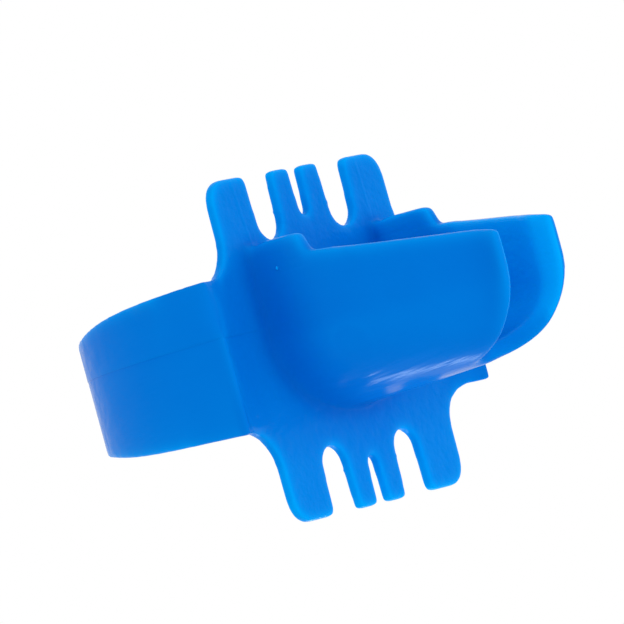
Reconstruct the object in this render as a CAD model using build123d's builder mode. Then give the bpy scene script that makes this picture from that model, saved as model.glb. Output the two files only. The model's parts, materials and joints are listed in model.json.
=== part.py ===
"""One-piece moulded retractor: a D-shaped loop whose flat front is a comb plate with a scoop on it.

Millimetres. The origin is the middle of the comb plate's back face, inside the loop.
+X runs along the comb plate, +Y points into the loop, and +Z is up, along the loop's axis.
The moulding is divided where it flexes, so every finger and lip is a solid with its own hinge line.
"""
import os
from math import radians, sqrt, tan

from build123d import *

# comb plate
plate_thickness = 1.25
comb_half_height = 20.5
comb_half_width = 17.25
comb_side_draft = 2.5
comb_root_fillet = 4.7
outer_tip_radius = 2.8
slot_tip_radius = 0.9
slit_tip_radius = 0.5

# slots between the fingers
slot_center = 7.365
slot_end_radius = 2.44
slot_end_height = 12.5
slit_end_radius = 1.0
slit_end_height = 14.65
slot_draft = 3.0

# loop band
loop_radius = 25.95
loop_center_y = 3.85
fold_depth = 2.1
wing_start = 17.8
wing_end = 21.6
fold_outer_radius = 0.35
fold_inner_radius = 0.4
band_fold_height = 9.2
band_top_side_height = 8.95
band_bottom_side_height = 8.45
band_back_height = 6.6
band_taper_start = 7.5
back_band_start = 20.0

# scoop
scoop_top = 12.1
scoop_curve_height = 0.6
scoop_root_depth = 9.4
scoop_depth_taper = 0.9
scoop_length = 29.5
throat_length = 9.95
scoop_root_width = 13.9
throat_middle_width = 14.05
throat_width = 14.1
lip_quarter_width = 12.7
lip_middle_width = 10.75
lip_three_quarter_width = 8.1
lip_end_width = 6.6
scoop_wall_root = 1.9
scoop_wall_end = 2.1
tab_length = 7.85
tab_height = 11.9
step_length = 8.6
step_height = 9.76
lip_end_height = 6.16
floor_cutback = 10.4
floor_cut_height = 9.85
floor_cut_center = 2.0
floor_slot_half_width = 5.0
floor_slot_length = 10.45
tab_corner_radius = 0.6
step_radius = 1.0
lip_corner_radius = 0.4

# flexing places
hinge_clearance = 0.05
outer_hinge_height = 13.2
inner_hinge_height = slit_end_height + slit_end_radius
lip_hinge_distance = 1.0
lip_hinge_x = 12.9
lip_root_radius = 1.0
lip_root_relief = 0.15
lip_split_height = -2.0
lip_split_gap = 0.1

# worked out from the above
plate_middle = -plate_thickness / 2
plate_front = -plate_thickness
comb_root_half_width = comb_half_width + (comb_half_height - slot_end_height) * tan(radians(comb_side_draft))
fold_y = plate_front - fold_depth
fold_x = sqrt(loop_radius**2 - (loop_center_y - fold_y) ** 2)
loop_back = loop_center_y + loop_radius
lip_hinge_y = plate_front - throat_length - lip_hinge_distance
reach = 60.0
match_tolerance = 0.05

os.makedirs("parts", exist_ok=True)


def save(piece, name):
    """Label a finished piece and write its file."""
    piece.part.label = name
    export_step(piece.part, f"parts/{name}.step")


def loop_outline():
    """Plan outline of the loop's outer face: flat front, wings bent forward, round back."""
    with BuildSketch() as outline:
        with BuildLine():
            Line((-wing_start, plate_front), (wing_start, plate_front))
            TangentArc((wing_start, plate_front), (fold_x, fold_y), tangent=(1, 0))
            ThreePointArc((fold_x, fold_y), (0, loop_back), (-fold_x, fold_y))
            TangentArc((-wing_start, plate_front), (-fold_x, fold_y), tangent=(-1, 0))
        make_face()
    return outline


def loop_plan():
    """Plan section of the loop's wall, plate thickness all round."""
    with BuildSketch() as inner:
        add(loop_outline().sketch)
        offset(amount=-plate_thickness, kind=Kind.INTERSECTION)
        fillet(inner.vertices().group_by(Axis.Y)[0], radius=fold_inner_radius)
    with BuildSketch() as plan:
        add(loop_outline().sketch)
        fillet(plan.vertices().filter_by(lambda corner: abs(corner.X) > wing_end), radius=fold_outer_radius)
        add(inner.sketch, mode=Mode.SUBTRACT)
    return plan.sketch


def slot_half_width(end_radius, end_height, height):
    """Half the width of a drafted slot at a height above its round end."""
    return end_radius + (height - end_height - end_radius) * tan(radians(slot_draft))


def slot(end_radius, end_height):
    """Outline of one drafted slot with a round end, open at the comb's edge."""
    middle = end_height + end_radius
    opening = comb_half_height + end_radius
    half_mouth = slot_half_width(end_radius, end_height, opening)
    with BuildSketch() as outline:
        with Locations((0, middle)):
            Circle(end_radius)
        with BuildLine():
            Polyline(
                (-end_radius, middle),
                (end_radius, middle),
                (half_mouth, opening),
                (-half_mouth, opening),
                close=True,
            )
        make_face()
    return outline.sketch


def corners_at(outline, distance):
    """The two corners of an outline's top edge that lie at a distance from the middle."""
    top = outline.vertices().group_by(Axis.Y)[-1]
    return top.filter_by(lambda corner: abs(abs(corner.X) - distance) < match_tolerance)


def comb_face():
    """Front outline of the comb plate: a band-high middle with four fingers up and four down."""
    slot_half_mouth = slot_half_width(slot_end_radius, slot_end_height, comb_half_height)
    slit_half_mouth = slot_half_width(slit_end_radius, slit_end_height, comb_half_height)
    band_start = comb_root_half_width + comb_root_fillet
    with BuildSketch() as half:
        with BuildLine():
            Polyline(
                (-band_start, 0),
                (-band_start, band_fold_height),
                (-comb_root_half_width, band_fold_height),
                (-comb_half_width, comb_half_height),
                (comb_half_width, comb_half_height),
                (comb_root_half_width, band_fold_height),
                (band_start, band_fold_height),
                (band_start, 0),
                close=True,
            )
        make_face()
        roots = half.vertices().filter_by(
            lambda corner: abs(abs(corner.X) - comb_root_half_width) < match_tolerance
        )
        fillet(roots, radius=comb_root_fillet)
        with Locations((-slot_center, 0), (slot_center, 0)):
            add(slot(slot_end_radius, slot_end_height), mode=Mode.SUBTRACT)
        add(slot(slit_end_radius, slit_end_height), mode=Mode.SUBTRACT)
        fillet(corners_at(half, comb_half_width), radius=outer_tip_radius)
        fillet(corners_at(half, slot_center + slot_half_mouth), radius=slot_tip_radius)
        fillet(corners_at(half, slot_center - slot_half_mouth), radius=slit_tip_radius)
        fillet(corners_at(half, slit_half_mouth), radius=slit_tip_radius)
    with BuildSketch() as face:
        add(half.sketch)
        mirror(half.sketch, about=Plane.XZ)
    return face.sketch


def band_side():
    """Side outline of the loop band: full height at the folds, narrowing smoothly to the back."""
    taper_middle = (band_taper_start + loop_back) / 2
    front = fold_y - plate_thickness
    back = loop_back + plate_thickness
    side_heights = {1: band_top_side_height, -1: band_bottom_side_height}
    with BuildSketch() as outline:
        for up, side_height in side_heights.items():
            with BuildLine():
                Polyline((front, 0), (front, up * band_fold_height), (fold_y, up * band_fold_height))
                Bezier(
                    (fold_y, up * band_fold_height),
                    (band_taper_start, up * side_height),
                    (taper_middle, up * side_height),
                    (taper_middle, up * band_back_height),
                    (loop_back, up * band_back_height),
                )
                Polyline(
                    (loop_back, up * band_back_height),
                    (back, up * band_back_height),
                    (back, 0),
                    (front, 0),
                )
            make_face()
    return outline.sketch


def trough(wall_share):
    """Solid scoop shape: the outside with a wall share of 0, the hollow inside with 1."""
    lip_middle = (throat_length + scoop_length) / 2
    stations = [
        (0, scoop_root_width),
        (throat_length / 2, throat_middle_width),
        (throat_length, throat_width),
        ((throat_length + lip_middle) / 2, lip_quarter_width),
        (lip_middle, lip_middle_width),
        ((lip_middle + scoop_length) / 2, lip_three_quarter_width),
        (scoop_length, lip_end_width),
    ]
    with BuildPart() as block:
        for distance, half_width in stations:
            share = distance / scoop_length
            inset = wall_share * (scoop_wall_root + (scoop_wall_end - scoop_wall_root) * share)
            width = half_width - inset
            depth = scoop_root_depth - scoop_depth_taper * share - inset
            with BuildSketch(Plane.XZ.offset(distance - plate_front)):
                with BuildLine():
                    Polyline(
                        (-width, scoop_curve_height),
                        (-width, comb_half_height),
                        (width, comb_half_height),
                        (width, scoop_curve_height),
                    )
                    EllipticalCenterArc(
                        (0, scoop_curve_height), width, depth, start_angle=180, arc_size=180
                    )
                make_face()
        loft()
    return block.part


def scoop_side():
    """Side outline of the scoop: a stepped top edge, and a floor cut back in a quarter ellipse."""
    tip = plate_front - scoop_length
    tab = plate_front - tab_length
    step = plate_front - step_length
    floor_end = tip + floor_cutback
    with BuildSketch() as outline:
        with BuildLine():
            Polyline(
                (floor_end, floor_cut_center - floor_cut_height),
                (floor_end, -comb_half_height),
                (plate_front, -comb_half_height),
                (plate_front, scoop_top),
                (tab, tab_height),
                (step, step_height),
                (tip, lip_end_height),
                (tip, floor_cut_center),
            )
            EllipticalCenterArc(
                (floor_end, floor_cut_center),
                floor_cutback,
                floor_cut_height,
                start_angle=180,
                arc_size=90,
            )
        make_face()
        rounded = {tab_height: tab_corner_radius, step_height: step_radius, lip_end_height: lip_corner_radius}
        for height, radius in rounded.items():
            fillet(outline.vertices().filter_by(lambda corner: corner.Y == height), radius=radius)
    return outline.sketch


def scoop_shell():
    """The whole scoop: an open trough with a stepped rim and a slot in its floor, on the plate's front."""
    tip = plate_front - scoop_length
    with BuildPart() as shell:
        add(trough(0))
        add(trough(1), mode=Mode.SUBTRACT)
        with BuildSketch(Plane.YZ):
            add(scoop_side())
        extrude(amount=reach, both=True, mode=Mode.INTERSECT)
        with BuildSketch():
            with Locations((0, tip)):
                Ellipse(floor_slot_half_width, floor_slot_length)
        extrude(amount=reach, both=True, mode=Mode.SUBTRACT)
    return shell.part


def band_ring():
    """The loop's band on its own, from fold to fold round the back, with the wings' ends."""
    with BuildPart() as ring:
        with BuildSketch():
            add(loop_plan())
        extrude(amount=comb_half_height, both=True)
        with BuildSketch(Plane.YZ):
            add(band_side())
        extrude(amount=reach, both=True, mode=Mode.INTERSECT)
        with Locations((0, -reach / 2, 0)):
            Box(2 * wing_end, reach, reach, mode=Mode.SUBTRACT)
    return ring.part


def finger_section(up, hinge_height):
    """Side view of one finger: a half-round root and a straight blade up to the tip."""
    blade = comb_half_height - hinge_height
    with BuildSketch() as section:
        with Locations((plate_middle, up * hinge_height)):
            Circle(plate_thickness / 2)
        with Locations((plate_middle, up * (hinge_height + blade / 2))):
            Rectangle(plate_thickness, blade)
    return section.sketch


levels = {"lower": -1, "upper": 1}
hands = {"left": -1, "right": 1}
fingers = {
    "outer_finger": (slot_center, wing_end, outer_hinge_height),
    "inner_finger": (0, slot_center, inner_hinge_height),
}
comb = comb_face()
ring = band_ring()
scoop = scoop_shell()

# comb plate, with a groove across the root of every finger
with BuildPart() as comb_plate:
    with BuildSketch():
        add(loop_plan())
    extrude(amount=comb_half_height, both=True)
    with BuildSketch(Plane.XZ):
        add(comb)
    extrude(amount=reach, both=True, mode=Mode.INTERSECT)
    with Locations((0, -reach / 2, 0)):
        Box(2 * wing_end, reach, reach, mode=Mode.INTERSECT)
    for near, far, hinge_height in fingers.values():
        length = far - near
        for across in hands.values():
            for up in levels.values():
                middle = across * (near + far) / 2
                with Locations((middle, plate_middle, up * hinge_height)):
                    Cylinder(
                        plate_thickness / 2 + hinge_clearance,
                        length,
                        rotation=(0, 90, 0),
                        mode=Mode.SUBTRACT,
                    )
                with Locations((middle, plate_middle, up * (hinge_height + comb_half_height / 2))):
                    Box(length, 2 * plate_thickness, comb_half_height, mode=Mode.SUBTRACT)
save(comb_plate, "comb_plate")

# fingers, each with a half-round root in its groove
for level, up in levels.items():
    for hand, across in hands.items():
        for kind, (near, far, hinge_height) in fingers.items():
            with BuildPart() as finger:
                with BuildSketch(Plane.XZ):
                    add(comb)
                extrude(amount=plate_thickness)
                with BuildSketch(Plane.YZ.offset(across * near)):
                    add(finger_section(up, hinge_height))
                extrude(amount=across * (far - near), mode=Mode.INTERSECT)
            save(finger, f"{level}_{hand}_{kind}")

# loop band, in two sides and a back
band_back_plane = Plane.XZ.offset(-back_band_start)
for hand, across in hands.items():
    with BuildPart() as band:
        add(ring)
        split(bisect_by=band_back_plane, keep=Keep.TOP)
        split(bisect_by=Plane.YZ, keep=Keep.TOP if across > 0 else Keep.BOTTOM)
    save(band, f"{hand}_band")

with BuildPart() as back_band:
    add(ring)
    split(bisect_by=band_back_plane, keep=Keep.BOTTOM)
save(back_band, "back_band")

# scoop: throat with its stepped tabs, floor, and two side lips that spread and close
throat_end = Plane.XZ.offset(-lip_hinge_y)
with BuildPart() as scoop_throat:
    add(scoop)
    split(bisect_by=throat_end, keep=Keep.BOTTOM)
    with BuildSketch(Plane.XY.offset(lip_split_height - lip_split_gap)):
        with Locations((-lip_hinge_x, lip_hinge_y), (lip_hinge_x, lip_hinge_y)):
            Circle(lip_root_radius + hinge_clearance)
    extrude(amount=reach, mode=Mode.SUBTRACT)
save(scoop_throat, "scoop_throat")

with BuildPart() as scoop_floor:
    add(scoop)
    split(bisect_by=throat_end, keep=Keep.TOP)
    split(bisect_by=Plane.XY.offset(lip_split_height - lip_split_gap), keep=Keep.BOTTOM)
save(scoop_floor, "scoop_floor")

for hand, across in hands.items():
    with BuildPart() as lip:
        add(scoop)
        split(bisect_by=Plane.XY.offset(lip_split_height), keep=Keep.TOP)
        with BuildSketch(Plane.XY.offset(lip_split_height)):
            with Locations((across * lip_hinge_x, lip_hinge_y)):
                Circle(lip_root_radius)
            with Locations((across * throat_width / 2, lip_hinge_y - lip_root_relief - scoop_length / 2)):
                Rectangle(throat_width, scoop_length)
        extrude(amount=reach, mode=Mode.INTERSECT)
    save(lip, f"{hand}_lip")
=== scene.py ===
"""Looks of the one-piece moulded retractor: one continuous skin over the CAD nodes, cut where it flexes.

Lengths are millimetres while the skin is worked on, and metres in the scene. +X runs along the comb
plate, +Y points into the loop and +Z is up. The scoop points along -Y.
"""
import json
from math import cos, radians, sin, sqrt

import bmesh
import bpy
import numpy as np
from mathutils import Matrix, Vector


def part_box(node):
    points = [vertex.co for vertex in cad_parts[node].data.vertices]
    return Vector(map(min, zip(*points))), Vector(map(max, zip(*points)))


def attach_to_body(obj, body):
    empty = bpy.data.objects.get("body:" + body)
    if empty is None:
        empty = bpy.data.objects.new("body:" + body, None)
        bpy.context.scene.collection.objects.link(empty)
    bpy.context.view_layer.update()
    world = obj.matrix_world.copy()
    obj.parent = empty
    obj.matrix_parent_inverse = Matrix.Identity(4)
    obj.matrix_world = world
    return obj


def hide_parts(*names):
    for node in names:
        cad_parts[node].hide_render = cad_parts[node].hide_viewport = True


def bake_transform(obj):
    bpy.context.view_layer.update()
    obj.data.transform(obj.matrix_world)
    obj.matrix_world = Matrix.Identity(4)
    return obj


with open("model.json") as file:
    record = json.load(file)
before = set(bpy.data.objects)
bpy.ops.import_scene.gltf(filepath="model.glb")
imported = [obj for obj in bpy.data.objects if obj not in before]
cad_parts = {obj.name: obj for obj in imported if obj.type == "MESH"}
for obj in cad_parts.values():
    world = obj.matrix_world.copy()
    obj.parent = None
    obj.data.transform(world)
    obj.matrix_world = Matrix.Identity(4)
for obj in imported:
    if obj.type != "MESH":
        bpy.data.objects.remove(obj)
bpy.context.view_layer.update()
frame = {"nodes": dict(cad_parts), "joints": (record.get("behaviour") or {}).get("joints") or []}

MM = 0.001

# skin, in millimetres
VOXEL = 0.2
WELD = 0.001
SWELL = 0.08
EDGE_GAIN = 0.03
LOOSE_SHELL = 500

# rounding: how many passes each region gets, and how far every point goes at each pass
PULL = 0.5
LEAST_SHARE = 0.001
PLATE_PASSES = 16
SCOOP_PASSES = 24
LIP_END_PASSES = 34
LIP_ROOT_PASSES = 80
SOFT_FOLD_PASSES = 420
SOFT_NORMAL_PASSES = 1500

# height that rounding takes from the scoop's top edges, in millimetres
RIM_LOSS_STEP = 0.1
RIM_LOSS_TIP = 0.55
LEFT_LOSS = 0.15
TAB_LOSS = 0.22

# where each kind of rounding fades in, in millimetres past the place that it starts from
SCOOP_ROOT_SPAN = (-0.05, 0.15)
SCOOP_SIDE_SPAN = (1.2, 1.6)
SCOOP_LOW_SPAN = (-1.6, -1.2)
SCOOP_TOP_SPAN = (0.1, 0.4)
LIP_END_SPAN = (1.5, 4)
LIP_ROOT_SPAN = (1.5, 2.5)
FOLD_SIDE_SPAN = (-1.5, 1.5)
FOLD_BACK_SPAN = (1.5, 5)
FOLD_LOW_SPAN = (-0.2, 2)
STEP_SPAN = (-0.5, 1)
RIM_DEPTH = 3.5
TAB_ROOT_SPAN = (-3, -1)
TAB_TOP_SPAN = (-2.5, -0.5)
SOFT_SIDE_SPAN = (-4.5, -2)
SOFT_BACK_SPAN = (4, 9)
SOFT_LOW_SPAN = (0, 1)
SOFT_TOP_SPAN = (-1, -0.4)

# moulding marks, in millimetres
PARTING_Z = 2.4
PARTING_HALF = 0.06
PARTING_STEP = 0.05
PARTING_RIDGE = 0.04
PARTING_SIDE_SPAN = (0.8, 1.4)
BAND_STEP_SPAN = (-4, 0)
OUTWARD = (0.3, 0.6)
CREASES = {-1: ((-12.92, 19.73), (-12.3, 13.14)), 1: ((12.24, 19.35), (12.6, 13.13))}
CREASE_HEIGHT = 0.04
CREASE_HALF = 0.3
CREASE_LOW_SPAN = (-5, -1)
FACING_FRONT = (0.6, 0.9)
NUB = (-13.9, -5.15, 8.8)
NUB_RADIUS = 0.24
NUB_HEIGHT = 0.2

# where things are on the object, in millimetres
SLOT_X = 7.365
SCOOP_HALF_WIDTH = 16.0
LIP_TIP_HEIGHT = 6.16
LOOP_MIDDLE = 3.85
WING_BACK = 2.0
WING_REACH = 1.0

# where the skin is cut into pieces, in millimetres
OUTER_CUT = 0.3
INNER_CUT = 0.55
SCOOP_CUT = -1.9
FLOOR_CUT = -12.2
LIP_CUT = ((0, -11.5, 12), (0, -29, -8))
BAND_CUT_FRONT = 5.0
BACK_CUT = 20.0
BACK_REACH = 2.0
ROOT_REACH = 0.1
SLICE_REACH = 4 * VOXEL
SLICE_SNAP = 0.0001

# painted light and shade: how much lighter or deeper each region is painted than the plain plastic, and where
# that fades in
# painted highlights on convex rims and painted shade in hollows, less of both on the folds
RIM_PAINT_PASSES = 60
RIM_PAINTED_LIGHT = 0.9
RIM_PROUD = 0.28
RIM_PAINTED_LIGHT_MOST = 1.1
FOLD_DIMS = 0.65
# painted light on the scoop's inner faces, growing towards the tip
INSIDE_PAINTED_LIGHT = 1.35
INSIDE_START = 0.35
# painted shade: less painted light low on the scoop
SCOOP_LOW_PAINTED_SHADE = 0.7
# painted light on the fingers and on the lower part of the plate
FINGER_PAINTED_LIGHT = 0.35
LOW_PLATE_PAINTED_LIGHT = 0.2
# painted glint on the gate nub
NUB_PAINTED_GLINT = 1.5
# painted light along a band inside the lips near the tip
TIP_BAND = 27.6
TIP_BAND_PAINTED_LIGHT = 0.4
TIP_BAND_SPAN = (-0.25, 0.25)
TIP_BAND_HEIGHTS = (-6, -4)
TONE_ROOT_SPAN = (-1.5, -0.5)
INSIDE_SPAN = (9, 15)
FACING_IN = (0, 0.6)
FINGER_SPAN = (-1, 6)
FOLD_TONE_SPAN = (-2, 0)
LOW_PLATE_HEIGHTS = (-12, 0)
SCOOP_PAINTED_SHADE_HEIGHTS = (-7, -2.5)

# plastic: colours from the deepest painted shade to the lightest painted light
PAINTED_SHADE_TO_LIGHT_COLORS = (
    (0.0, (0.0, 0.080, 0.52)),
    (0.4, (0.0, 0.172, 0.67)),
    (0.8, (0.0, 0.29, 0.86)),
    (1.0, (0.0, 0.37, 0.96)),
)
TONE_RANGE = (-1.0, 1.5)
CLOUD_SCALE = 90
CLOUD = 0.1
ROUGHNESS = 0.2
ROUGHNESS_SPREAD = 0.05
ROUGHNESS_SCALE = 260
SPECULAR = 0.02
SPECULAR_TINT = (0.2, 0.8, 1.0)
STREAK_STRETCH = (1, 0.12, 1)
STREAK_SCALE = 560
STREAK_DEPTH = 0.00016
GRAIN_SCALE = 700
GRAIN_DEPTH = 0.00006
GRAIN_STRENGTH = 0.25

# floor and lights, in millimetres and watts
FLOOR_HEIGHT = -60
FLOOR_SIDE = 900
FLOOR_TINT = (0.93, 0.97)
FLOOR_ROUGHNESS = 0.9
LIGHT_COLOR = (0.8, 0.96, 1.0)
LIGHTS = {
    "under_light": ((22, 16, -50), (-5, -8, -4), 26, 5, 0.008),
    "front_light": ((60, -400, -10), (0, 0, -5), 300, 80, 0.18),
}

# camera, in millimetres and degrees
CAMERA_TURN = 54.27
CAMERA_RISE = -2.06
CAMERA_ROLL = 15.28
CAMERA_DISTANCE = 868.1
CAMERA_LENS = 425.7
SENSOR = 36.0
CAMERA_CLIP = (0.05, 50)
AIM_RIGHT = -3.231
AIM_UP = 2.594


def node_box(name):
    """Lowest and highest corner of a CAD node, in millimetres."""
    low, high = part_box(name)
    return low / MM, high / MM


plate_high = node_box("comb_plate")[1]
throat_low, throat_high = node_box("scoop_throat")
lip_low, lip_high = node_box("right_lip")
band_high = node_box("left_band")[1]
joint_place = {joint["child"]: Vector(joint["pos_m"]) / MM for joint in frame["joints"]}
PLATE_FRONT = joint_place["upper_right_outer_finger"].y * 2
OUTER_HINGE = joint_place["upper_right_outer_finger"].z
INNER_HINGE = joint_place["upper_right_inner_finger"].z
LIP_HINGE = joint_place["right_lip"]
WING_END = plate_high.x
lip_normal = Vector((0, LIP_CUT[1][2] - LIP_CUT[0][2], LIP_CUT[0][1] - LIP_CUT[1][1])).normalized()


def fade(values, start, end):
    """Smooth step from 0 at start to 1 at end, for numbers or arrays."""
    share = np.clip((np.asarray(values) - start) / (end - start), 0, 1)
    return share * share * (3 - 2 * share)


def fade_past(values, place, span):
    """Smooth step over a span that is measured from a place."""
    return fade(values, place + span[0], place + span[1])


# ---------------------------------------------------------------- skin

def swollen_copy(node):
    """A closed copy of a CAD node's mesh in millimetres, swollen a little so that hinge gaps close."""
    shell = bmesh.new()
    shell.from_mesh(node.data)
    bmesh.ops.scale(shell, vec=(1 / MM,) * 3, verts=shell.verts)
    bmesh.ops.remove_doubles(shell, verts=shell.verts, dist=WELD)
    shell.normal_update()
    steps = [vertex.normal * SWELL * vertex.calc_shell_factor() for vertex in shell.verts]
    for vertex, step in zip(shell.verts, steps):
        vertex.co += step
    return shell


def remeshed(mesh):
    """One closed even skin round everything in the mesh."""
    holder = bpy.data.objects.new("skin_source", mesh)
    bpy.context.scene.collection.objects.link(holder)
    remesh = holder.modifiers.new("Remesh", "REMESH")
    remesh.mode = "VOXEL"
    remesh.voxel_size = VOXEL
    depsgraph = bpy.context.evaluated_depsgraph_get()
    skin = bpy.data.meshes.new_from_object(holder.evaluated_get(depsgraph))
    bpy.data.objects.remove(holder)
    return skin


def drop_loose_shells(skin):
    """Delete the small closed bubbles that the remesh leaves inside walls."""
    seen = set()
    loose = []
    for first in skin.verts:
        if first in seen:
            continue
        shell = [first]
        seen.add(first)
        for vertex in shell:
            for edge in vertex.link_edges:
                other = edge.other_vert(vertex)
                if other not in seen:
                    seen.add(other)
                    shell.append(other)
        if len(shell) < LOOSE_SHELL:
            loose += shell
    bmesh.ops.delete(skin, geom=loose, context="VERTS")
    return skin


def joined_skin():
    """The remeshed skin of all CAD nodes as a bmesh."""
    together = bmesh.new()
    for node in frame["nodes"].values():
        shell = swollen_copy(node)
        part = bpy.data.meshes.new("part")
        shell.to_mesh(part)
        shell.free()
        together.from_mesh(part)
        bpy.data.meshes.remove(part)
    mesh = bpy.data.meshes.new("together")
    together.to_mesh(mesh)
    together.free()
    skin = bmesh.new()
    skin.from_mesh(remeshed(mesh))
    return drop_loose_shells(skin)


def read(skin, domain, field, width, kind=float):
    """One field of every vertex, edge, face or corner of the skin, as an array with a row for each."""
    mesh = bpy.data.meshes.new("reading")
    skin.to_mesh(mesh)
    elements = getattr(mesh, domain)
    values = np.empty(len(elements) * width, kind)
    elements.foreach_get(field, values)
    bpy.data.meshes.remove(mesh)
    return values.reshape(-1, width)


def points_of(skin):
    return read(skin, "vertices", "co", 3)


def edges_of(skin):
    return read(skin, "edges", "vertices", 2, int)


def normals_of(skin):
    skin.normal_update()
    return read(skin, "vertices", "normal", 3)


def centers_of(skin):
    return read(skin, "polygons", "center", 3)


def move_points(skin, points):
    for vertex, point in zip(skin.verts, points):
        vertex.co = point


def relaxed(points, edges, share, passes):
    """Points moved towards the middle of their neighbours, pass after pass, each by its own share."""
    points = points.copy()
    moving = share > LEAST_SHARE
    edges = edges[moving[edges].any(axis=1)]
    used, ends = np.unique(edges, return_inverse=True)
    first, second = ends.reshape(-1, 2).T
    total = len(used)
    neighbours = np.bincount(first, minlength=total) + np.bincount(second, minlength=total)
    part = points[used]
    pull = (share * moving)[used][:, None]
    for _ in range(passes):
        sums = np.empty_like(part)
        for axis in range(3):
            column = part[:, axis]
            sums[:, axis] = np.bincount(first, column[second], total)
            sums[:, axis] += np.bincount(second, column[first], total)
        part = part + pull * (sums / neighbours[:, None] - part)
    points[used] = part
    return points


def everywhere(points):
    return np.ones(len(points))


def scoop_share(points):
    """1 on the scoop and the corner where it meets the plate, 0 on the comb's outline and the band."""
    x, y, z = points.T
    front = 1 - fade_past(y, PLATE_FRONT, SCOOP_ROOT_SPAN)
    beside = 1 - fade_past(abs(x), throat_high.x, SCOOP_SIDE_SPAN)
    below = fade_past(z, throat_low.z, SCOOP_LOW_SPAN)
    above = 1 - fade_past(z, throat_high.z, SCOOP_TOP_SPAN)
    return front * beside * below * above


def lip_end_share(points):
    """1 at the free ends of the lips, 0 from a few millimetres behind them."""
    return 1 - fade_past(points[:, 1], lip_low.y, LIP_END_SPAN)


def fold_share(points):
    """1 at the upper half of the folds between wings and band, 0 on the parting line and below."""
    x, y, z = points.T
    beside = fade_past(abs(x), WING_END, FOLD_SIDE_SPAN)
    front = 1 - fade(y, *FOLD_BACK_SPAN)
    return beside * front * fade_past(z, PARTING_Z, FOLD_LOW_SPAN)


def rim_height(y):
    """Height of the lips' sloping top edge, from the step to the tip."""
    return lip_high.z + (LIP_TIP_HEIGHT - lip_high.z) * (lip_high.y - y) / (lip_high.y - lip_low.y)


def lip_root_share(points):
    """1 where the lips' hinge line meets the floor, so that no dimple shows there."""
    away = np.hypot(points[:, 1] - LIP_HINGE.y, points[:, 2] - lip_low.z)
    return (1 - fade(away, *LIP_ROOT_SPAN)) * (abs(points[:, 0]) < SCOOP_HALF_WIDTH)


def raise_rims(points):
    """Give back the height that rounding took from the scoop's top edges."""
    x, y, z = points.T
    on_lip = 1 - fade_past(y, lip_high.y, STEP_SPAN)
    lost = RIM_LOSS_STEP + (RIM_LOSS_TIP - RIM_LOSS_STEP) * fade(-y, -lip_high.y, -lip_low.y)
    hand = np.where(x < 0, LEFT_LOSS, 1)
    lip_rise = hand * on_lip * lost * fade(z - rim_height(y), -RIM_DEPTH, -RIM_LOSS_TIP)
    on_tab = (1 - fade_past(y, PLATE_FRONT, TAB_ROOT_SPAN)) * (1 - on_lip)
    tab_rise = on_tab * TAB_LOSS * fade_past(z, throat_high.z, TAB_TOP_SPAN)
    points[:, 2] += lip_rise + tab_rise


def smooth_skin(skin):
    """Round the edges: crisp on the plate and band, soft on the scoop, nearly full-round at the lip ends."""
    edges = edges_of(skin)
    points = points_of(skin) - normals_of(skin) * (SWELL - EDGE_GAIN)
    for share_of, passes in (
        (everywhere, PLATE_PASSES),
        (scoop_share, SCOOP_PASSES),
        (lip_end_share, LIP_END_PASSES),
        (lip_root_share, LIP_ROOT_PASSES),
    ):
        points = relaxed(points, edges, PULL * share_of(points), passes)
    softened = relaxed(points, edges, PULL * fold_share(points), SOFT_FOLD_PASSES)
    points[:, :2] = softened[:, :2]
    tip_stretch = lip_low.y - points[:, 1].min()
    points[:, 1] += tip_stretch * (1 - fade(points[:, 1], lip_low.y, lip_high.y))
    raise_rims(points)
    move_points(skin, points)


# ---------------------------------------------------------------- moulding marks

def slice_skin(skin, point, normal, wanted):
    """A loop of edges where a plane crosses the wanted faces."""
    centers = centers_of(skin)
    across = abs((centers - np.array(point)) @ np.array(normal)) < SLICE_REACH
    chosen = np.nonzero(across & wanted(*centers.T))[0]
    skin.faces.ensure_lookup_table()
    faces = [skin.faces[index] for index in chosen]
    edges = {edge for face in faces for edge in face.edges}
    verts = {vertex for face in faces for vertex in face.verts}
    geometry = list(verts) + list(edges) + faces
    bmesh.ops.bisect_plane(skin, geom=geometry, plane_co=point, plane_no=normal, dist=SLICE_SNAP)


def outward_share(points, normals):
    """1 on the outer face of the band and the front of the plate and wings, 0 elsewhere."""
    spokes = points[:, :2] - np.array([0, LOOP_MIDDLE])
    spokes /= np.linalg.norm(spokes, axis=1)[:, None]
    on_loop = (abs(points[:, 0]) > WING_END - WING_REACH) | (points[:, 1] > BAND_CUT_FRONT)
    round_loop = np.where(on_loop, (normals[:, :2] * spokes).sum(axis=1), -1)
    front = np.where(points[:, 1] < WING_BACK, -normals[:, 1], -1)
    return fade(np.maximum(round_loop, front), *OUTWARD)


def outside_scoop(x, y, z):
    return (abs(x) > throat_high.x + PARTING_SIDE_SPAN[0]) | (y > BAND_CUT_FRONT)


def add_parting_line(skin):
    """The upper half of the band stands a little proud, with a thin raised line along the parting."""
    for height in (PARTING_Z - PARTING_HALF, PARTING_Z, PARTING_Z + PARTING_HALF):
        slice_skin(skin, (0, 0, height), (0, 0, 1), outside_scoop)
    points, normals = points_of(skin), normals_of(skin)
    x, y, z = points.T
    share = outward_share(points, normals)
    behind = fade(y, WING_BACK, BAND_CUT_FRONT)
    on_band = np.maximum(fade_past(abs(x), WING_END, BAND_STEP_SPAN), behind)
    step = PARTING_STEP * on_band * np.clip((z - PARTING_Z + PARTING_HALF) / (2 * PARTING_HALF), 0, 1)
    beside_scoop = fade_past(abs(x), throat_high.x, PARTING_SIDE_SPAN)
    ridge = PARTING_RIDGE * np.maximum(beside_scoop, behind)
    ridge = ridge * np.clip(1 - abs(z - PARTING_Z) / PARTING_HALF, 0, 1)
    move_points(skin, points + normals * (share * (step + ridge))[:, None])


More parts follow.
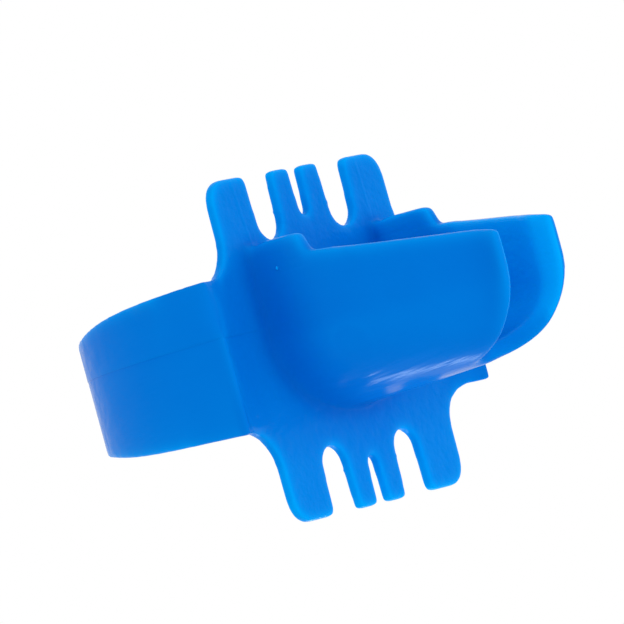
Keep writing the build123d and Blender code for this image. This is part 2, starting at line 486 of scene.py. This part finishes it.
def add_creases(skin):
    """A faint raised line along the front of each outer finger."""
    points, normals = points_of(skin), normals_of(skin)
    x, y, z = points.T
    front = fade(-normals[:, 1], *FACING_FRONT) * fade_past(z, OUTER_HINGE, CREASE_LOW_SPAN)
    for across, ((top_x, top_z), (low_x, low_z)) in CREASES.items():
        line_x = low_x + (top_x - low_x) * (z - low_z) / (top_z - low_z)
        near = np.clip(1 - abs(x - line_x) / CREASE_HALF, 0, 1)
        points[:, 1] -= CREASE_HEIGHT * front * near * (x * across > 0) * (y < 0)
    move_points(skin, points)


def add_nub(skin):
    """The trimmed stub of the moulding gate on the scoop's left wall."""
    nub = Vector(NUB)
    near = {edge for edge in skin.edges if (edge.verts[0].co - nub).length < 3 * NUB_RADIUS}
    bmesh.ops.subdivide_edges(skin, edges=list(near), cuts=3, use_grid_fill=True)
    skin.normal_update()
    close = [vertex for vertex in skin.verts if (vertex.co - nub).length < 2 * NUB_RADIUS]
    middle = min(close, key=lambda vertex: (vertex.co.yz - nub.yz).length).co.copy()
    for vertex in close:
        away = (vertex.co - middle).length / NUB_RADIUS
        vertex.co.x -= NUB_HEIGHT * sqrt(max(0, 1 - away * away))


# ---------------------------------------------------------------- pieces

def cut_places():
    """Every cutting plane: a point, its normal, and which faces it may cut."""
    def on_scoop(x, y, z):
        return (abs(x) < SCOOP_HALF_WIDTH) & (y < PLATE_FRONT + ROOT_REACH)

    for side in (-1, 1):
        yield (0, 0, side * (OUTER_HINGE - OUTER_CUT)), (0, 0, 1), outer_column
        yield (0, 0, side * (INNER_HINGE - INNER_CUT)), (0, 0, 1), inner_column
        yield (side * WING_END, 0, 0), (1, 0, 0), lambda x, y, z: y < BAND_CUT_FRONT
    yield (0, SCOOP_CUT, 0), (0, 1, 0), on_scoop
    yield LIP_CUT[0], tuple(lip_normal), on_scoop
    yield (0, FLOOR_CUT, 0), (0, 1, 0), on_scoop
    yield (0, BACK_CUT, 0), (0, 1, 0), lambda x, y, z: y > BACK_CUT - BACK_REACH


def outer_column(x, y, z):
    return (abs(x) > SLOT_X) & (abs(z) > band_high.z)


def inner_column(x, y, z):
    return (abs(x) < SLOT_X) & (abs(z) > band_high.z)


def piece_names(centers):
    """The CAD node that each face belongs to."""
    x, y, z = centers.T
    hand = np.where(x < 0, "left", "right")
    level = np.where(z < 0, "lower", "upper")
    past_lip = (centers - np.array(LIP_CUT[0])) @ np.array(lip_normal) > 0
    names = np.full(len(centers), "comb_plate", dtype=object)
    loop = (abs(x) > WING_END) | (y > BAND_CUT_FRONT)
    names[loop] = hand[loop].astype(object) + "_band"
    names[y > BACK_CUT] = "back_band"
    scoop = (abs(x) < SCOOP_HALF_WIDTH) & (y < SCOOP_CUT)
    names[scoop] = "scoop_throat"
    names[scoop & (y < FLOOR_CUT)] = "scoop_floor"
    lip = scoop & past_lip
    names[lip] = hand[lip].astype(object) + "_lip"
    for kind, finger in (
        ("outer", (abs(x) > SLOT_X) & (abs(z) > OUTER_HINGE - OUTER_CUT)),
        ("inner", (abs(x) < SLOT_X) & (abs(z) > INNER_HINGE - INNER_CUT)),
    ):
        finger = finger & ~loop & ~scoop
        names[finger] = level[finger].astype(object) + "_" + hand[finger].astype(object) + f"_{kind}_finger"
    return names


def cap_ends(mesh):
    """Close the cut ends of a piece with flat caps, after its other faces."""
    piece = bmesh.new()
    piece.from_mesh(mesh)
    rim_highlight_and_hollow_shade = [edge for edge in piece.edges if edge.is_boundary]
    caps = bmesh.ops.holes_fill(piece, edges=rim_highlight_and_hollow_shade, sides=0)["faces"]
    bmesh.ops.triangulate(piece, faces=caps)
    piece.to_mesh(mesh)
    piece.free()


def soft_fold_normals(skin):
    """Shading normals of the uncut skin, turning slowly across the folds above the parting line."""
    points, normals = points_of(skin), normals_of(skin)
    x, y, z = points.T
    beside = fade_past(abs(x), WING_END, SOFT_SIDE_SPAN)
    share = beside * (1 - fade(y, *SOFT_BACK_SPAN)) * fade_past(z, PARTING_Z, SOFT_LOW_SPAN)
    share *= 1 - fade_past(z, band_high.z, SOFT_TOP_SPAN)
    normals = relaxed(normals, edges_of(skin), PULL * share, SOFT_NORMAL_PASSES)
    return normals / np.linalg.norm(normals, axis=1)[:, None]


def shade_smooth(mesh, skin_faces, normals):
    """Smooth shading with the given normals, and flat caps, which come after the skin's faces."""
    mesh.polygons.foreach_set("use_smooth", [True] * len(mesh.polygons))
    corner_normals = normals[[corner.vertex_index for corner in mesh.loops]]
    for polygon in mesh.polygons[skin_faces:]:
        corner_normals[list(polygon.loop_indices)] = polygon.normal
    mesh.normals_split_custom_set(corner_normals.tolist())


def build_pieces(skin, painted_light_and_shade):
    """One closed object per CAD node, with the shading of the uncut skin so that the cuts don't show."""
    normals = soft_fold_normals(skin)
    points = points_of(skin)
    names = piece_names(centers_of(skin))
    sizes = read(skin, "polygons", "loop_total", 1, int)[:, 0]
    corners = read(skin, "loops", "vertex_index", 1, int)[:, 0]
    corner_names = np.repeat(names, sizes)
    objects = {}
    for node in frame["nodes"]:
        mine = names == node
        used, rings = np.unique(corners[corner_names == node], return_inverse=True)
        rings = np.split(rings, np.cumsum(sizes[mine])[:-1])
        mesh = bpy.data.meshes.new(node + "_skin")
        mesh.from_pydata(points[used] * MM, [], [ring.tolist() for ring in rings])
        cap_ends(mesh)
        # painted light and shade of each point, read by the material
        shading = mesh.attributes.new("painted_light_and_shade", "FLOAT", "POINT")
        shading.data.foreach_set("value", painted_light_and_shade[used].astype(np.float32))
        shade_smooth(mesh, len(rings), normals[used])
        piece = bpy.data.objects.new(node + "_skin", mesh)
        bpy.context.scene.collection.objects.link(piece)
        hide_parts(node)
        objects[node] = piece
    return objects


def painted_light_and_shade_of(skin):
    """How light each point of the plastic is painted: painted highlights on rims, painted light on the thin
    fingers and inside the scoop, painted shade in hollows.
    """
    points, normals = points_of(skin), normals_of(skin)
    soft = relaxed(points, edges_of(skin), PULL * everywhere(points), RIM_PAINT_PASSES)
    proud = ((points - soft) * normals).sum(axis=1)
    x, y, z = points.T
    on_scoop = 1 - fade_past(y, PLATE_FRONT, TONE_ROOT_SPAN)
    # painted light on the fingers
    fingers = fade_past(abs(z), band_high.z, FINGER_SPAN) * (1 - on_scoop)
    towards_tip = INSIDE_START + (1 - INSIDE_START) * fade(-y, *INSIDE_SPAN)
    facing_in = fade(-normals[:, 0] * np.sign(x), *FACING_IN) * on_scoop * towards_tip
    tip_band = facing_in * fade_past(-y, TIP_BAND, TIP_BAND_SPAN) * fade(z, *TIP_BAND_HEIGHTS)
    # painted glint on the gate nub
    nub = NUB_PAINTED_GLINT * (np.linalg.norm(points - np.array(NUB), axis=1) < NUB_RADIUS)
    on_fold = fade_past(abs(x), WING_END, FOLD_TONE_SPAN) * (1 - fade(y, WING_BACK, BAND_CUT_FRONT))
    # painted highlights on convex rims and painted shade in hollows, damped on the folds
    rim_highlight_and_hollow_shade = RIM_PAINTED_LIGHT * np.clip(proud / RIM_PROUD, -1, RIM_PAINTED_LIGHT_MOST) * (1 - FOLD_DIMS * on_fold)
    # painted light, stronger towards the bottom of the plate
    low_plate_painted_light = LOW_PLATE_PAINTED_LIGHT * (1 - fade(z, *LOW_PLATE_HEIGHTS)) * (1 - on_scoop)
    # painted shade: the painted light is cut low on the scoop
    low_scoop_shade = 1 - SCOOP_LOW_PAINTED_SHADE * on_scoop * (1 - fade(z, *SCOOP_PAINTED_SHADE_HEIGHTS))
    # painted light inside the scoop and along the tip band, added to the rim paint
    painted_rim_and_inside = low_scoop_shade * (rim_highlight_and_hollow_shade + INSIDE_PAINTED_LIGHT * facing_in + TIP_BAND_PAINTED_LIGHT * tip_band)
    return painted_rim_and_inside + FINGER_PAINTED_LIGHT * fingers + low_plate_painted_light + nub


def attach(name, piece):
    """Bake the fingers' and lips' transforms into their meshes, and hold every other piece still on the
    frame.
    """
    if name.endswith("finger"):
        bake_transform(piece)
    elif name.endswith("lip"):
        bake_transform(piece)
    else:
        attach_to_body(piece, "frame")


# ---------------------------------------------------------------- material

def link(tree, source, output, target, socket):
    tree.links.new(source.outputs[output], target.inputs[socket])


def noise(tree, coordinates, scale, detail, output="Object"):
    texture = tree.nodes.new("ShaderNodeTexNoise")
    texture.inputs["Scale"].default_value = scale
    texture.inputs["Detail"].default_value = detail
    link(tree, coordinates, output, texture, "Vector")
    return texture


def mapped(tree, source, output, low, high):
    """A 0 to 1 value spread from low to high."""
    spread = tree.nodes.new("ShaderNodeMapRange")
    spread.inputs["To Min"].default_value = low
    spread.inputs["To Max"].default_value = high
    link(tree, source, output, spread, "Value")
    return spread


def bump(tree, height, strength, distance):
    relief = tree.nodes.new("ShaderNodeBump")
    relief.inputs["Strength"].default_value = strength
    relief.inputs["Distance"].default_value = distance
    link(tree, height, "Fac", relief, "Height")
    return relief


def tone_colors(tree, coordinates):
    """Body colour by the painted light and shade stored on the skin, slightly clouded."""
    # the painted light and shade stored on the skin
    painted_light_and_shade = tree.nodes.new("ShaderNodeAttribute")
    painted_light_and_shade.attribute_name = "painted_light_and_shade"
    cloud = mapped(tree, noise(tree, coordinates, CLOUD_SCALE, 3), "Fac", -CLOUD, CLOUD)
    shade = tree.nodes.new("ShaderNodeMath")
    shade.operation = "ADD"
    link(tree, cloud, "Result", shade, 0)
    link(tree, painted_light_and_shade, "Fac", shade, 1)
    place = mapped(tree, shade, "Value", 0, 1)
    place.inputs["From Min"].default_value = TONE_RANGE[0]
    place.inputs["From Max"].default_value = TONE_RANGE[1]
    ramp = tree.nodes.new("ShaderNodeValToRGB")
    link(tree, place, "Result", ramp, "Fac")
    while len(ramp.color_ramp.elements) < len(PAINTED_SHADE_TO_LIGHT_COLORS):
        ramp.color_ramp.elements.new(0.5)
    for element, (position, color) in zip(ramp.color_ramp.elements, PAINTED_SHADE_TO_LIGHT_COLORS):
        element.position = position
        element.color = (*color, 1)
    return ramp


def blue_plastic():
    """Azure polypropylene: even body colour with painted light at rims and thin places and painted shade in
    hollows, flow streaks and fine grain.
    """
    material = bpy.data.materials.new("blue_plastic")
    material.use_nodes = True
    tree = material.node_tree
    shader = tree.nodes["Principled BSDF"]
    coordinates = tree.nodes.new("ShaderNodeTexCoord")
    link(tree, tone_colors(tree, coordinates), "Color", shader, "Base Color")
    gloss = noise(tree, coordinates, ROUGHNESS_SCALE, 4)
    rough = mapped(tree, gloss, "Fac", ROUGHNESS - ROUGHNESS_SPREAD, ROUGHNESS + ROUGHNESS_SPREAD)
    link(tree, rough, "Result", shader, "Roughness")
    shader.inputs["Specular IOR Level"].default_value = SPECULAR
    shader.inputs["Specular Tint"].default_value = (*SPECULAR_TINT, 1)
    drawn = tree.nodes.new("ShaderNodeMapping")
    drawn.inputs["Scale"].default_value = STREAK_STRETCH
    link(tree, coordinates, "Object", drawn, "Vector")
    streaks = bump(tree, noise(tree, drawn, STREAK_SCALE, 2, "Vector"), 1.0, STREAK_DEPTH)
    grain = bump(tree, noise(tree, coordinates, GRAIN_SCALE, 5), GRAIN_STRENGTH, GRAIN_DEPTH)
    link(tree, streaks, "Normal", grain, "Normal")
    link(tree, grain, "Normal", shader, "Normal")
    return material


# ---------------------------------------------------------------- camera, floor and light

def place_camera():
    """The photograph's viewing angle: from the front left, a little below the middle, rolled."""
    turn, rise, roll = radians(CAMERA_TURN), radians(CAMERA_RISE), radians(CAMERA_ROLL)
    back = Vector((-sin(turn) * cos(rise), -cos(turn) * cos(rise), sin(rise)))
    level = Vector((cos(turn), -sin(turn), 0))
    upright = back.cross(level)
    right = level * cos(roll) - upright * sin(roll)
    up = level * sin(roll) + upright * cos(roll)
    aim = Vector((0, PLATE_FRONT, 0)) + right * AIM_RIGHT + up * AIM_UP
    start = Vector((0, PLATE_FRONT, 0)) + back * CAMERA_DISTANCE
    camera = bpy.data.objects.new("camera", bpy.data.cameras.new("camera"))
    bpy.context.scene.collection.objects.link(camera)
    camera.data.sensor_width = SENSOR
    camera.data.lens = CAMERA_LENS
    camera.data.clip_start, camera.data.clip_end = CAMERA_CLIP
    look = (start - aim).normalized()
    side = up.cross(look).normalized()
    top = look.cross(side)
    camera.matrix_world = Matrix.Translation(start * MM) @ Matrix((side, top, look)).transposed().to_4x4()
    bpy.context.scene.camera = camera


def add_floor():
    """A plain pale floor below the object."""
    mesh = bpy.data.meshes.new("floor")
    half = FLOOR_SIDE / 2
    corners = [(-half, -half), (half, -half), (half, half), (-half, half)]
    mesh.from_pydata([(x * MM, y * MM, FLOOR_HEIGHT * MM) for x, y in corners], [], [(0, 1, 2, 3)])
    floor = bpy.data.objects.new("floor", mesh)
    bpy.context.scene.collection.objects.link(floor)
    pale = bpy.data.materials.new("pale_floor")
    pale.use_nodes = True
    paint = pale.node_tree.nodes["Principled BSDF"]
    paint.inputs["Roughness"].default_value = FLOOR_ROUGHNESS
    paint.inputs["Specular IOR Level"].default_value = 0.0
    grain = noise(pale.node_tree, pale.node_tree.nodes.new("ShaderNodeTexCoord"), 4, 2)
    tint = mapped(pale.node_tree, grain, "Fac", *FLOOR_TINT)
    link(pale.node_tree, tint, "Result", paint, "Base Color")
    mesh.materials.append(pale)


def add_light(name, place, target, width, depth, power):
    """A softbox that lights the object but isn't seen by the camera."""
    light = bpy.data.lights.new(name, "AREA")
    light.shape = "RECTANGLE"
    light.size = width * MM
    light.size_y = depth * MM
    light.energy = power
    light.color = LIGHT_COLOR
    lamp = bpy.data.objects.new(name, light)
    bpy.context.scene.collection.objects.link(lamp)
    turned = (Vector(target) - Vector(place)).to_track_quat("-Z", "Y").to_matrix().to_4x4()
    lamp.matrix_world = Matrix.Translation(Vector(place) * MM) @ turned
    lamp.visible_camera = False


def add_world():
    """Even white light from everywhere, as in a light tent."""
    world = bpy.data.worlds.new("world")
    world.use_nodes = True
    background = world.node_tree.nodes["Background"]
    background.inputs["Color"].default_value = (1, 1, 1, 1)
    background.inputs["Strength"].default_value = 1.0
    bpy.context.scene.world = world


# ---------------------------------------------------------------- the scene

skin = joined_skin()
smooth_skin(skin)
add_parting_line(skin)
add_creases(skin)
add_nub(skin)
for point, normal, wanted in cut_places():
    slice_skin(skin, point, normal, wanted)

material = blue_plastic()
# every piece carries the painted light and shade in its colour
for name, piece in build_pieces(skin, painted_light_and_shade_of(skin)).items():
    attach(name, piece)
    piece.data.materials.append(material)

place_camera()
add_floor()
for name, settings in LIGHTS.items():
    add_light(name, *settings)
add_world()
bpy.context.scene.view_settings.view_transform = "Standard"
